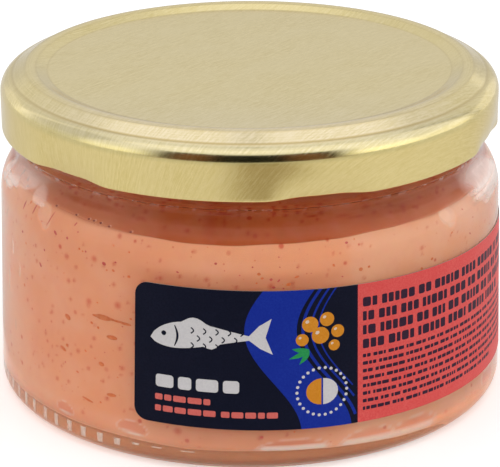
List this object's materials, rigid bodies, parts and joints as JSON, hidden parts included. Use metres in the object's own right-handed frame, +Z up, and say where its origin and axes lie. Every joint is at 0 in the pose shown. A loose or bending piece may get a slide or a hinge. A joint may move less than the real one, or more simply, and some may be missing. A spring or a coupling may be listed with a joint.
{
  "type": "jar of fish roe spread",
  "caption": "Squat glass jar filled with orange-pink fish roe spread, shut with a gold twist-off lid with pressed-in lugs, with a wrap-round label on its straight wall.",
  "frame": {"origin": "on the surface that the jar stands on, under the middle of its base", "axes": "+Z up along the jar's axis, -Y towards the front"},
  "size_m": [0.0892, 0.0892, 0.0571],
  "materials": {
    "glass": "clear, smooth, slightly wavy moulded glass",
    "spread": "smooth creamy orange-pink emulsion with dark red specks and orange oil drops",
    "lid": "gold-lacquered tinplate with a fine brushed grain",
    "label": "satin film-coated paper, printed navy, blue and coral"
  },
  "bodies": {
    "root": {"jar_glass": "glass", "roe_spread": "spread", "twist_lid": "lid", "wrap_label": "label"}
  },
  "joints": []
}
